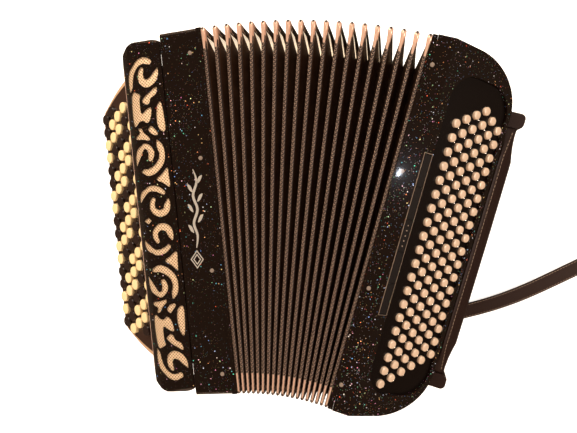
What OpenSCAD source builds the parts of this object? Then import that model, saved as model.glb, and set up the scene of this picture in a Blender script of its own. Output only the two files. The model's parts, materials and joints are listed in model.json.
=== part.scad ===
// Five-row chromatic button accordion, lying on its back with the bellows fanned open.
// mm, +Z up (the front of the instrument), X from treble to bass, Y to the top end.

/* [Body] */
// Height of the instrument, end to end
body_h = 424; // [380:2:450]
// Depth of the instrument, back to front
body_d = 200; // [180:1:215]
// Width of the treble case, without the keyboard
case_w = 44; // [36:1:60]
// Width of the bass case
bass_w = 112; // [95:1:130]
// Wall of the cases
wall = 5; // [4:0.5:8]
// Rounding of the front end edges of the treble case
edge_r = 5; // [4:1:14]

/* [Bellows] */
// Number of pleats
pleats = 18; // [12:1:20]
// Pitch of the folds with the bellows shut
fold_pitch = 5.7; // [5:0.1:8]
// Depth of a pleat
fold_depth = 30; // [24:1:36]
// Thickness of a stiff fold
fold_t = 4.2; // [3:0.1:5]
// Angle that the bellows are fanned open
fan = 20.7; // [0:0.1:28]

/* [Treble keyboard] */
// Pitch of the treble buttons
key_pitch = 18.4; // [17:0.1:20]
// Diameter of a treble button
key_d = 15; // [13:0.5:16]
// Slope of the keyboard
key_tilt = 31.5; // [20:0.5:40]
// Height of a treble button above the board
key_rise = 4.5; // [3:0.5:6]
// Travel of a treble button
key_travel = 3.5; // [2.5:0.5:4]

/* [Bass keyboard] */
// Pitch of the bass buttons along a column
bb_pitch = 16; // [14:0.1:18]
// Pitch of the bass columns
bb_step = 12.7; // [11:0.1:15]
// Diameter of a bass button
bb_d = 9.6; // [8:0.2:11]
// Slope of the bass button panel
bb_tilt = 38.7; // [25:0.1:45]
// Height of a bass button above its panel
bb_rise = 3.2; // [2:0.2:5]

/* [Straps] */
// Width of the hand strap
strap_w = 74; // [60:1:85]
// Width of the shoulder strap
shoulder_w = 20; // [16:1:40]

/* [Hidden] */
half = body_h / 2;
closed_l = pleats * fold_pitch;
step_a = fan / pleats;
row_step = key_pitch * 0.866;
case_x0 = -8 - case_w;
key_x = -202;
key_z = 69.5;
slope_u = 27;
grille_e = half - 3.5;
grille_r = 40;
board_edge = -9.5;
foot_v = [43, 371];
foot_l = 18;
foot_r = 6;
body_wall = 3;
cap_h = key_rise + 2.2;
stem_d = 7;
bb_u = 53.5;
bb_z = 178.5;
line_u = 10;
$fn = 48;

// ---- frames of reference ----

// The origin is the centre of the treble case's back.
module home() {
  translate([8 + case_w / 2, 0, 0]) children();
}

// A fold or the bass side, swung open by n steps about its bottom end.
module swing(n) {
  translate([n * fold_pitch / 2, -half, 0])
    rotate([0, 0, -n * step_a])
      translate([n * fold_pitch / 2, 0, 0])
        children();
}

module bass_side() {
  swing(pleats) children();
}

// The slope of the treble keyboard: origin on the outer row, Z out of the board.
module key_plane() {
  translate([key_x, 0, key_z])
    rotate([0, -key_tilt, 0])
      children();
}

// The slope of the bass button panel: origin on the first column.
module bb_plane() {
  bass_side()
    translate([bb_u, 0, bb_z])
      rotate([0, bb_tilt, 0])
        children();
}

module rounded(w, h, r) {
  translate([r, r]) square([w - 2 * r, h - 2 * r]);
  translate([r, 0]) square([w - 2 * r, h]);
  translate([0, r]) square([w, h - 2 * r]);
  for (x = [r, w - r]) for (y = [r, h - r]) translate([x, y]) circle(r);
}

// An upright ring of board, x thick, as the bellows frames and folds are.
module ring(t, h, d, wide) {
  difference() {
    translate([-t / 2, (body_h - h) / 2, (body_d - d) / 2]) cube([t, h, d]);
    translate([-t, (body_h - h) / 2 + wide, (body_d - d) / 2 + wide])
      cube([2 * t, h - 2 * wide, d - 2 * wide]);
  }
}

// ---- treble case ----

// A body seen from its side: e from the middle to each end, rounded at the front edges.
module end_profile(e, top, r) {
  translate([-e, 0]) square([2 * e, top - r]);
  translate([-e + r, 0]) square([2 * e - 2 * r, top]);
  for (y = [-e + r, e - r]) translate([y, top - r]) circle(r);
}

module treble_case() {
  color("#1b0f0c") home()
  difference() {
    translate([-8, 0, 0]) rotate([90, 0, -90]) linear_extrude(case_w) end_profile(half, body_d, edge_r);
    translate([-8 - case_w + wall, -half + wall, wall])
      cube([case_w, body_h - 2 * wall, body_d - 2 * wall]);
    // way through to the keyboard
    translate([case_x0 - 1, -half + 26, 40]) cube([wall + 2, body_h - 52, 132]);
  }
}

// ---- grille over the treble mechanism ----

module grille_section(o) {
  polygon([[-52.5, 110], [-52.5, body_d - o], [-84, body_d - 1.5 - o],
    [-97 + o * 0.3, body_d - 6 - o], [-107 + o * 0.7, body_d - 14 - o * 0.8],
    [-114 + o, body_d - 27 - o * 0.4], [-119 + o, 117], [-119 + o, 110]]);
}

module grille_solid(inset) {
  e = grille_e - inset;
  intersection() {
    translate([0, e, 0]) rotate([90, 0, 0]) linear_extrude(2 * e) grille_section(inset);
    translate([-119 + inset, -e, 60]) linear_extrude(160) rounded(86, 2 * e, grille_r - inset);
    translate([-50, 0, 0]) rotate([90, 0, -90])
      linear_extrude(90) end_profile(e, body_d - inset, edge_r + 3 - inset);
  }
}

// What is under the slope of the board, taken away from the grille.
module under_board(lift) {
  key_plane() translate([-40, -half - 20, -200 - key_rise + lift]) cube([240, body_h + 40, 200]);
}

module grille_window(m) {
  translate([-112 - m, -half + 14 - m, 0])
    linear_extrude(400) rounded(57 + 2 * m, body_h - 28 + 2 * m, 26 + m);
}

module treble_grille() {
  color("#170f0c") home()
  difference() {
    grille_solid(0);
    grille_solid(3);
    translate([-53.5, -half - 5, 90]) cube([10, body_h + 10, 130]);
    under_board(0.4);
    grille_window(0);
  }
}

module grille_mesh() {
  color("#caa071") home()
  difference() {
    intersection() {
      difference() {
        grille_solid(3.3);
        grille_solid(4.5);
      }
      grille_window(4);
    }
    under_board(2);
    translate([-55, -half - 5, 90]) cube([10, body_h + 10, 130]);
  }
}

// Where a point a mm from the seam lies across the curved cover.
function across(a) = -52.5 - a - max(0, a - 32) * 0.9;

// A smooth line through points, with one more between each two.
function between(p, i) =
  let (a = p[max(0, i - 1)], b = p[i], c = p[i + 1], d = p[min(len(p) - 1, i + 2)])
    (9 * b + 9 * c - a - d) / 16;
function finer(p) = [for (k = [0:2 * len(p) - 2]) k % 2 == 0 ? p[k / 2] : between(p, (k - 1) / 2)];

// One side of a brush stroke whose points are [across, up, half width].
function brush_side(p, i, s) =
  let (a = p[max(0, i - 1)], b = p[min(len(p) - 1, i + 1)], l = norm([b[0] - a[0], b[1] - a[1]]))
    [across(p[i][0] - s * (b[1] - a[1]) / l * p[i][2]), p[i][1] + s * (b[0] - a[0]) / l * p[i][2]];

module stroke(points) {
  p = finer(points);
  n = len(p) - 1;
  polygon(concat([for (i = [0:n]) brush_side(p, i, 1)], [for (i = [n:-1:0]) brush_side(p, i, -1)]));
}

module leaf(points) {
  polygon([for (q = points) [across(q[0]), q[1]]]);
}

// The scrolls and leaves cut through the upper half of the cover.
module half_scrollwork() {
  stroke([[16.5, 182, 3.4], [23.5, 184.5, 3.8], [30.5, 182.5, 3.5], [36, 177, 2.9], [39, 170, 2.2],
    [40, 162, 1.9], [40.2, 156, 1.5], [40.6, 151, 0.5]]);
  stroke([[26.5, 174.5, 2.4], [28.6, 169, 3.5], [28, 162, 4], [22.5, 157.5, 4.6], [14.5, 160.5, 4.6],
    [9.5, 167, 3.6], [6.5, 173, 0.8]]);
  stroke([[26.5, 70.5, 3.4], [24.8, 76.5, 3.8], [27.5, 83, 3.3], [33, 85.5, 3.1], [37.5, 81.5, 2.9],
    [39.8, 75, 2.3], [41, 69, 1.5], [41.8, 64, 0.5]]);
  stroke([[16, 90.5, 1], [13.5, 84, 3.8], [11.3, 75, 3.6], [14, 65, 4.1], [22, 57.5, 4.4],
    [30, 54.5, 4.2], [35.5, 56, 3]]);
  stroke([[15, 29.5, 2.8], [22, 34, 3.3], [31, 35.3, 3.2], [37.5, 31.5, 2.7], [40.5, 25.5, 1.8],
    [41.6, 20.5, 0.6]]);
  stroke([[28.5, 22, 2.8], [30.5, 16.5, 3.4], [29.5, 10, 3.6], [22.5, 5.4, 4.1], [14, 8, 4.2],
    [11, 15.5, 3.7], [9.5, 21, 1.2]]);
  leaf([[38.5, 150], [36, 148.5], [31.5, 145], [33, 139], [32.5, 124], [27, 127], [19.5, 129.5],
    [20, 121], [23, 114], [27, 112], [31, 115], [36, 114], [39.5, 109.5], [41, 117], [41, 132],
    [40, 146]]);
  leaf([[9.5, 152], [16, 149.5], [25, 143.5], [30, 138], [28, 135], [24, 133], [20.5, 135],
    [18.5, 140], [11.5, 144]]);
  leaf([[9, 134.5], [11.5, 130], [13.5, 120], [13.5, 110], [11, 102.5], [6.5, 99.5], [3.8, 103],
    [4, 116], [5, 128], [6.5, 134]]);
  leaf([[38, 107], [34, 106], [31.5, 101], [25, 94.5], [26, 91.5], [34, 93.5], [39.5, 94.5],
    [39.8, 98], [37, 101.5]]);
  leaf([[21.5, 108], [25.5, 104.5], [23, 99.5], [16.5, 96.5], [13.5, 98.5], [17.5, 104]]);
  leaf([[8, 57.5], [14, 51.5], [21.5, 45.5], [14, 40.5], [7, 35.5], [5, 38], [5.6, 48], [6, 57]]);
}

module scrollwork() {
  half_scrollwork();
  translate([0, -5, 0]) mirror([0, 1, 0]) half_scrollwork();
  leaf([[40.6, -2.5], [37, 1.4], [33.4, -2.5], [37, -6.4]]);
}

module grille_fretwork() {
  color("#1a100c") home()
  difference() {
    intersection() {
      difference() {
        grille_solid(0);
        grille_solid(2);
      }
      grille_window(-0.3);
    }
    linear_extrude(400) scrollwork();
    under_board(1);
  }
}

// ---- treble keyboard ----

// Half of the board's outline, set in by m, from the middle of its outer edge to the grille.
function board_half(m, reach) = [[board_edge + m, 150], [-5 + m * 0.9, 158 - m * 0.4],
  [6 + m * 0.6, 165 - m * 0.8], [20 + m * 0.5, 173.5 - m * 0.9], [37 + m * 0.4, 182 - m],
  [60, 190.5 - m], [reach, 197 - m]];

module board_outline(m, reach) {
  p = board_half(m, reach);
  n = len(p) - 1;
  polygon(concat(p, [for (i = [n:-1:0]) [p[i][0], -p[i][1]]]));
}

module row_at(r) {
  n = r % 2 == 0 ? 17 : 18;
  for (k = [0:n - 1]) translate([r * row_step, ((n - 1) / 2 - k) * key_pitch, 0]) children();
}

module fingerboard() {
  color("#2a1712") home()
  key_plane()
    difference() {
      translate([0, 0, -key_rise - 6]) linear_extrude(6) board_outline(0, 99);
      for (r = [0:4]) row_at(r) translate([0, 0, -20]) cylinder(h = 40, d = key_d + 1);
    }
}

module board_prism(m, top, deep) {
  key_plane() translate([0, 0, -deep]) linear_extrude(deep - top) board_outline(m, 190);
}

module keyboard_body() {
  color("#22130f") home()
  difference() {
    intersection() {
      board_prism(0, key_rise + 6.2, 140);
      translate([-220, -half, 32]) cube([220 + case_x0 - 0.3, body_h, 160]);
    }
    intersection() {
      board_prism(body_wall, 0, 200);
      translate([-220, -half, 32 + body_wall]) cube([260, body_h, 200]);
    }
  }
}

// A row of buttons: caps guided by the board, on stems that stand on one rail.
module treble_row(r) {
  n = r % 2 == 0 ? 17 : 18;
  color(r % 2 == 0 ? "#efe6d2" : "#e9dfca") home()
  key_plane() {
    row_at(r) {
      translate([0, 0, -cap_h]) cylinder(h = cap_h, d = key_d);
      translate([0, 0, -key_rise - 10.5]) cylinder(h = 6, d = stem_d);
    }
    translate([r * row_step - 1.5, -(n - 1) / 2 * key_pitch, -key_rise - 11.5])
      cube([3, (n - 1) * key_pitch, 4]);
  }
}

module treble_row_1() { treble_row(0); }
module treble_row_2() { treble_row(1); }
module treble_row_3() { treble_row(2); }
module treble_row_4() { treble_row(3); }
module treble_row_5() { treble_row(4); }

// ---- inside of the treble side ----

module treble_bellows_frame() {
  color("#8a6a44") home()
  translate([0, -half, 0])
    difference() {
      translate([-8, 0.5, 0.5]) cube([5.8, body_h - 1, body_d - 1]);
      translate([-9, 24, 24]) cube([8, body_h - 48, body_d - 48]);
    }
}

module treble_soundboard() {
  color("#c9a26c") home()
  difference() {
    translate([-36, -half + wall + 0.5, wall + 0.5])
      cube([7, body_h - 2 * wall - 1, body_d - 2 * wall - 1]);
    for (i = [0:10]) for (z = [44, 76, 108, 140])
      translate([-40, -170 + i * 34 - 7, z]) cube([15, 14, 12]);
  }
}

module treble_reed_blocks() {
  color("#d3b27d") home()
  for (z = [40, 72, 104, 136])
    difference() {
      translate([-28.8, -186, z]) cube([18, 372, 20]);
      for (i = [0:10]) translate([-22, -170 + i * 34 - 6, z - 1]) cube([7, 12, 22]);
    }
}

module treble_pallets() {
  color("#d8d0c0") home()
  for (i = [0:10]) for (z = [44, 76, 108, 140])
    translate([-39.2, -170 + i * 34 - 9, z - 2]) cube([3, 18, 16]);
}

module treble_levers() {
  color("#c8ccd0") home()
  {
    translate([-60, -186, 98]) rotate([-90, 0, 0]) cylinder(h = 372, d = 4);
    for (i = [0:10]) {
      translate([-60, -170 + i * 34, 98]) rotate([0, 82, 0])
        cylinder(h = 19.5, d = 2.4);
      translate([-60, -170 + i * 34, 98]) rotate([0, 62, 0]) translate([0, 0, -42])
        cylinder(h = 42, d = 2.4);
    }
  }
}

module pin() {
  cylinder(h = 1.2, d = 4.8, $fn = 32);
  translate([0, 0, 1]) cylinder(h = 1.3, d = 3.4, $fn = 32);
}

module treble_pins() {
  color("#e2e2e2") home()
  for (y = [-187, -66, 64, 184]) {
    translate([-17, y, body_d]) pin();
  }
}

module treble_strap_brackets() {
  color("#c9ccd0") home()
  for (s = [1, -1]) translate([-30, s * (half + 7.5), 22])
    difference() {
      union() {
        rotate([0, 90, 0]) translate([0, 0, -3]) cylinder(h = 6, r = 7);
        translate([-9, s > 0 ? -7.5 : 5.5, -12]) cube([18, 2, 24]);
      }
      rotate([0, 90, 0]) translate([0, 0, -4]) cylinder(h = 8, r = 3.5);
    }
}

// ---- bellows ----

module fold(n) {
  color(n % 2 == 0 ? "#2c1a14" : "#33201a") home()
  swing(n) ring(fold_t, body_h - 2, body_d - 2, fold_depth);
}

module fold_01() { fold(1); }
module fold_02() { fold(2); }
module fold_03() { fold(3); }
module fold_04() { fold(4); }
module fold_05() { fold(5); }
module fold_06() { fold(6); }
module fold_07() { fold(7); }
module fold_08() { fold(8); }
module fold_09() { fold(9); }
module fold_10() { fold(10); }
module fold_11() { fold(11); }
module fold_12() { fold(12); }
module fold_13() { fold(13); }
module fold_14() { fold(14); }
module fold_15() { fold(15); }
module fold_16() { fold(16); }
module fold_17() { fold(17); }

// ---- bass case ----

module bass_section(o) {
  u1 = bass_w - o;
  z1 = body_d - (bass_w - slope_u) * tan(bb_tilt);
  q = o / cos(bb_tilt);
  polygon([[8, o], [8, body_d - o], [slope_u - o * 0.35, body_d - o],
    [u1, z1 - q + o * tan(bb_tilt)], [u1, o]]);
}

module bass_solid(o) {
  intersection() {
    translate([0, body_h - o, 0]) rotate([90, 0, 0])
      linear_extrude(body_h - 2 * o) bass_section(o);
    translate([-60, o, -1]) linear_extrude(body_d + 2)
      rounded(60 + bass_w - o, body_h - 2 * o, 56 - o);
  }
}

module panel_outline(m) {
  translate([-21 - m, 26 - m]) rounded(90 + 2 * m, 370 + 2 * m, 33 + m);
}

module bass_case() {
  color("#1b0f0c") home()
  difference() {
    bass_side()
      difference() {
        bass_solid(0);
        bass_solid(wall);
        translate([0, wall, wall]) cube([12, body_h - 2 * wall, body_d - 2 * wall]);
      }
    bb_plane() translate([0, 0, -9]) linear_extrude(30) panel_outline(0);
    bb_plane() translate([-33, 120, -4.2]) cube([10.4, 182, 12]);
    bb_plane() translate([-30, 124, -14]) cube([4, 174, 20]);
    // air button
    bass_side() translate([80, 390, 70]) rotate([0, 90, 0]) cylinder(h = 60, d = 13);
    // strap wheel
    bass_side() translate([70, body_h - 12, 60]) rotate([-90, 0, 0]) cylinder(h = 30, d = 11);
  }
}

module bb_at(c) {
  first = c < 4 ? 0 : c - 3;
  for (k = [first:19])
    translate([c * bb_step, 342.5 + c * bb_pitch / 2 - k * bb_pitch, 0]) children();
}

module bass_button_panel() {
  color("#120b0a") home()
  bb_plane()
    difference() {
      union() {
        translate([0, 0, -bb_rise - 3]) linear_extrude(3) panel_outline(-0.4);
        translate([0, 0, -bb_rise - 4.6]) linear_extrude(2.4)
          translate([-25, 22]) rounded(96, 378, 36);
      }
      for (c = [0:5]) bb_at(c) translate([0, 0, -12]) cylinder(h = 16, d = bb_d + 0.9);
    }
}

module bass_column(c) {
  color("#efe6d2") home()
  bb_plane() {
    bb_at(c) translate([0, 0, -12.5]) cylinder(h = 12.5, d = bb_d);
    first = c < 4 ? 0 : c - 3;
    translate([c * bb_step - 1.5, 38.5 + c * bb_pitch / 2, -14])
      cube([3, (19 - first) * bb_pitch, 4]);
  }
}

module bass_column_1() { bass_column(0); }
module bass_column_2() { bass_column(1); }
module bass_column_3() { bass_column(2); }
module bass_column_4() { bass_column(3); }
module bass_column_5() { bass_column(4); }
module bass_column_6() { bass_column(5); }

module register(n) {
  color("#0d0b0b") home()
  bb_plane() {
    translate([-32.6, 120.6 + (4 - n) * 36.2, -1.6]) cube([9.6, 35.4, 2.2]);
    translate([-29.4, 126 + (4 - n) * 36.2, -9.5]) cube([2.8, 24, 8.5]);
  }
}

module register_1() { register(0); }
module register_2() { register(1); }
module register_3() { register(2); }
module register_4() { register(3); }
module register_5() { register(4); }

module bass_bellows_frame() {
  color("#8a6a44") home()
  bass_side()
    difference() {
      translate([2.2, 0.5, 0.5]) cube([5.6, body_h - 1, body_d - 1]);
      translate([1, 24, 24]) cube([8, body_h - 48, body_d - 48]);
    }
}

module bass_soundboard() {
  color("#c9a26c") home()
  bass_side()
    difference() {
      translate([34, wall + 0.5, wall + 0.5]) cube([6, body_h - 2 * wall - 1, 170]);
      for (i = [0:11]) for (z = [30, 70, 110])
        translate([30, 40 + i * 29, z]) cube([14, 14, 12]);
    }
}

module bass_reed_blocks() {
  color("#d3b27d") home()
  bass_side()
    for (z = [26, 66, 106])
      difference() {
        translate([11, 34, z]) cube([22.8, 356, 20]);
        for (i = [0:11]) translate([18, 41 + i * 29, z - 1]) cube([8, 12, 22]);
      }
}

module bass_mechanism() {
  color("#bfc3c7") home()
  bass_side() {
    for (i = [0:11]) translate([41.4 + i * 0, 46 + i * 29, 0]) {
      translate([0, 0, 22]) cube([3, 3, 108]);
    }
    for (z = [22, 62, 102]) translate([44, 40, z]) cube([3, 330, 3]);
    for (z = [30, 70, 110]) for (i = [0:11])
      translate([40.3, 38 + i * 29, z - 2]) cube([1.2, 18, 16]);
  }
}

module bass_pins() {
  color("#e2e2e2") home()
  bass_side()
    for (v = [32, 145, 277, 392]) {
      translate([line_u, v, body_d]) cylinder(h = 1.2, d = 4.8, $fn = 32);
      translate([line_u, v, body_d + 1]) cylinder(h = 1.3, d = 3.4, $fn = 32);
    }
}

// ---- straps ----

// Leather-covered blocks that hold the ends of the hand strap, fitted to the case's side.
module strap_feet() {
  color("#1c1210") home()
  bass_side()
    for (v = foot_v) difference() {
      translate([bass_w - 8, v - foot_l / 2, 60]) linear_extrude(54)
        union() {
          square([22, foot_l]);
          translate([0, foot_r]) square([28, foot_l - 2 * foot_r]);
          for (y = [foot_r, foot_l - foot_r]) translate([22, y]) circle(foot_r);
        }
      bass_solid(-0.2);
    }
}

// The band seen along the case: padded, and leaning in to the case at its front edge.
module strap_section() polygon([[130, 50], [134, 50], [134.6, 86], [131, 104], [124, 119], [115, 130],
  [112.8, 130.5], [112.6, 126], [120, 117], [127, 102], [130, 86]]);

module strap_end(v, foot) {
  hull() {
    translate([0, v + 0.5, 0]) rotate([90, 0, 0]) linear_extrude(1) strap_section();
    translate([bass_w + 1.5, foot, 64]) cube([14, 1, 48]);
  }
}

module hand_strap() {
  color("#2b1713") home()
  bass_side() {
    translate([0, 322, 0]) rotate([90, 0, 0]) linear_extrude(232) strap_section();
    strap_end(90.5, foot_v[0] + foot_l / 2 + 0.3);
    strap_end(321.5, foot_v[1] - foot_l / 2 - 1.3);
  }
}

module strap_wheel() {
  color("#cfcfcf") home()
  bass_side()
    translate([70, 0, 60]) {
      translate([0, body_h + 1, 0]) rotate([-90, 0, 0]) cylinder(h = 7, d = 22);
      translate([0, body_h - 10, 0]) rotate([-90, 0, 0]) cylinder(h = 12, d = 9);
    }
}

module air_button() {
  color("#e8e0cf") home()
  bass_side() translate([96, 390, 70]) rotate([0, 90, 0]) cylinder(h = 20, d = 11);
}

module shoulder_bracket() {
  color("#b08a4a") home()
  bass_side() {
    translate([bass_w + 0.2, 88, 4]) cube([3, 30, 22]);
    translate([bass_w + 3, 96, 6]) cube([14, 14, 4]);
    translate([bass_w + 14, 103, 0.3]) cylinder(h = 13.7, d = 5);
  }
}

module strap_outline() {
  difference() {
    union() {
      circle(d = shoulder_w + 4);
      rotate(33) translate([0, -shoulder_w / 2]) square([90, shoulder_w]);
      rotate(33) translate([90, 0]) {
        circle(d = shoulder_w + 0.8);
        rotate(10) translate([0, -shoulder_w / 2]) square([146, shoulder_w]);
      }
    }
    circle(d = 5.6);
  }
}

module shoulder_strap() {
  color("#2b1713") home()
  bass_side() translate([bass_w + 14, 103, 0.5]) linear_extrude(3) strap_outline();
}

module strap_clip() {
  color("#b08a4a") home()
  bass_side() translate([bass_w + 14, 103, 0.5])
    rotate([0, 0, 33]) translate([90, 0, 0]) rotate([0, 0, 10]) translate([140, 0, 0])
      difference() {
        translate([0, -shoulder_w / 2 - 3, 0]) cube([20, shoulder_w + 6, 6]);
        translate([-1, -shoulder_w / 2 - 0.2, -0.2]) cube([8.4, shoulder_w + 0.4, 3.4]);
        translate([10, -shoulder_w / 2, -1]) cube([6, shoulder_w, 8]);
      }
}

treble_case();
treble_grille();
grille_mesh();
grille_fretwork();
fingerboard();
keyboard_body();
treble_bellows_frame();
treble_soundboard();
treble_reed_blocks();
treble_pallets();
treble_levers();
treble_pins();
treble_strap_brackets();
treble_row_1();
treble_row_2();
treble_row_3();
treble_row_4();
treble_row_5();
fold_01();
fold_02();
fold_03();
fold_04();
fold_05();
fold_06();
fold_07();
fold_08();
fold_09();
fold_10();
fold_11();
fold_12();
fold_13();
fold_14();
fold_15();
fold_16();
fold_17();
bass_case();
bass_button_panel();
bass_bellows_frame();
bass_soundboard();
bass_reed_blocks();
bass_mechanism();
bass_pins();
strap_feet();
hand_strap();
bass_column_1();
bass_column_2();
bass_column_3();
bass_column_4();
bass_column_5();
bass_column_6();
register_1();
register_2();
register_3();
register_4();
register_5();
strap_wheel();
air_button();
shoulder_bracket();
shoulder_strap();
strap_clip();
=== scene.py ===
import json
import math

import bmesh
import bpy
from mathutils import Matrix, Vector
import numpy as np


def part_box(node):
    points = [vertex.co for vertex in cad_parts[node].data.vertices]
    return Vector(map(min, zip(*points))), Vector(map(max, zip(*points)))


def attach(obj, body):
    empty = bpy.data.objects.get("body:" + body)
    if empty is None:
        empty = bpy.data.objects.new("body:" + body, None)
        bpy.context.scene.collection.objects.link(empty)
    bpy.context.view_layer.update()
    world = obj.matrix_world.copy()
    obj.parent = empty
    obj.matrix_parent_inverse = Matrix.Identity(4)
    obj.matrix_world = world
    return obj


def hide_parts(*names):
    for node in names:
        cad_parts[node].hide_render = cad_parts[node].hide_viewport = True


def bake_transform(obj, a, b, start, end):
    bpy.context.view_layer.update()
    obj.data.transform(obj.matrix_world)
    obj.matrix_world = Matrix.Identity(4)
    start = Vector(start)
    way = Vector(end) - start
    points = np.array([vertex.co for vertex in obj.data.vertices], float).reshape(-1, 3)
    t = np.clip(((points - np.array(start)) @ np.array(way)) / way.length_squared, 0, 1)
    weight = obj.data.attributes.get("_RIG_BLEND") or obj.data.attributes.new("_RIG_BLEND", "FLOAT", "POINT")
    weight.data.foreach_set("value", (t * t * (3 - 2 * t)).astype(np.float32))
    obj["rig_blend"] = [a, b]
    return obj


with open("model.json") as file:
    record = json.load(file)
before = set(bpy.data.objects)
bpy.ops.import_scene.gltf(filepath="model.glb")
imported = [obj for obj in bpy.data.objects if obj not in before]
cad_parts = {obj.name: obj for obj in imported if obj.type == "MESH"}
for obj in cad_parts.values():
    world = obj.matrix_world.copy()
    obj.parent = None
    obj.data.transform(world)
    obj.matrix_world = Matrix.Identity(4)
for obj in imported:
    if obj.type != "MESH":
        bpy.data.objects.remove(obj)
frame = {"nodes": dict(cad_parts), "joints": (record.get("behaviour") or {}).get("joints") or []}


# ---------------------------------------------------------------- frames of reference
MM = 0.001
joints = {j["name"]: j for j in frame["joints"]}
_, case_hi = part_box("treble_case")
DEPTH = case_hi.z
HALF = case_hi.y
CASE_TO_RIDGE = 8 * MM
RIDGE0 = case_hi.x + CASE_TO_RIDGE
fan = joints["bellows_fan"]
FAN = math.radians(fan["range_deg"][1])
PLEATS = 18
PITCH = (fan["pos_m"][0] - RIDGE0) * 2 / PLEATS


def swing(n):
    """The frame of fold n as the bellows lie fanned open: X across the fold, Y up it."""
    out = Matrix.Translation((RIDGE0 + n * PITCH / 2, -HALF, 0))
    out = out @ Matrix.Rotation(-FAN * n / PLEATS, 4, "Z")
    return out @ Matrix.Translation((n * PITCH / 2, 0, 0))


BASS = swing(PLEATS)


def plane(origin, across, out):
    """A frame with X along across and Z along out."""
    x, z = Vector(across).normalized(), Vector(out).normalized()
    y = z.cross(x)
    m = Matrix((x, y, z)).transposed().to_4x4()
    m.translation = Vector(origin)
    return m


key_out = -Vector(joints["treble_row_1_press"]["axis"])
KEY_X, KEY_Z = 202 * MM, 69.5 * MM
key_x = RIDGE0 - KEY_X
KEYS = plane((key_x, 0, KEY_Z), (key_out.z, 0, -key_out.x), key_out)
bb_out = BASS.to_3x3().inverted() @ -Vector(joints["bass_column_1_press"]["axis"])
BUTTON_U, BUTTON_Z = 53.5 * MM, 178.5 * MM
BUTTONS = BASS @ plane((BUTTON_U, 0, BUTTON_Z), (bb_out.z, 0, -bb_out.x), bb_out)


# ---------------------------------------------------------------- materials
def shader(m):
    """The material's Principled node."""
    return m.node_tree.nodes["Principled BSDF"]


def material(name, color=(0.5, 0.5, 0.5), rough=0.5, metal=0.0, coat=0.0, coat_rough=0.05,
             sheen=0.0, spec=0.5):
    """A plain Principled material."""
    m = bpy.data.materials.new(name)
    m.use_nodes = True
    b = shader(m)
    b.inputs["Base Color"].default_value = (*color, 1)
    b.inputs["Roughness"].default_value = rough
    b.inputs["Metallic"].default_value = metal
    b.inputs["Coat Weight"].default_value = coat
    b.inputs["Coat Roughness"].default_value = coat_rough
    b.inputs["Sheen Weight"].default_value = sheen
    b.inputs["Specular IOR Level"].default_value = spec
    return m


def add(m, kind, **inputs):
    """A new node, with its inputs or its settings given by name."""
    n = m.node_tree.nodes.new(kind)
    for k, v in inputs.items():
        if k in n.inputs:
            n.inputs[k].default_value = v
        else:
            setattr(n, k, v)
    return n


def link(m, a, ao, b, bi):
    m.node_tree.links.new(a.outputs[ao], b.inputs[bi])


def ramp(m, stops):
    """A colour ramp through (position, color) stops."""
    n = m.node_tree.nodes.new("ShaderNodeValToRGB")
    e = n.color_ramp.elements
    e[0].position, e[0].color = stops[0][0], (*stops[0][1], 1)
    e[1].position, e[1].color = stops[-1][0], (*stops[-1][1], 1)
    for p, c in stops[1:-1]:
        x = e.new(p)
        x.color = (*c, 1)
    return n


def bump(m, source, output, strength, distance):
    b = add(m, "ShaderNodeBump")
    b.inputs["Strength"].default_value = strength
    b.inputs["Distance"].default_value = distance
    link(m, source, output, b, "Height")
    link(m, b, "Normal", shader(m), "Normal")


def coords(m):
    return add(m, "ShaderNodeTexCoord")


# strength of the lacquer's glow: its flakes glow as painted glints, lit by no lamp, and its dark ground a
# little with them
FLAKE_PAINTED_GLOW = 0.55
# strength of the gusset leather's glow: painted light on the gussets deep in the folds
GUSSET_PAINTED_LIGHT = 0.4
THREAD_TURN = 0.0046


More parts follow.
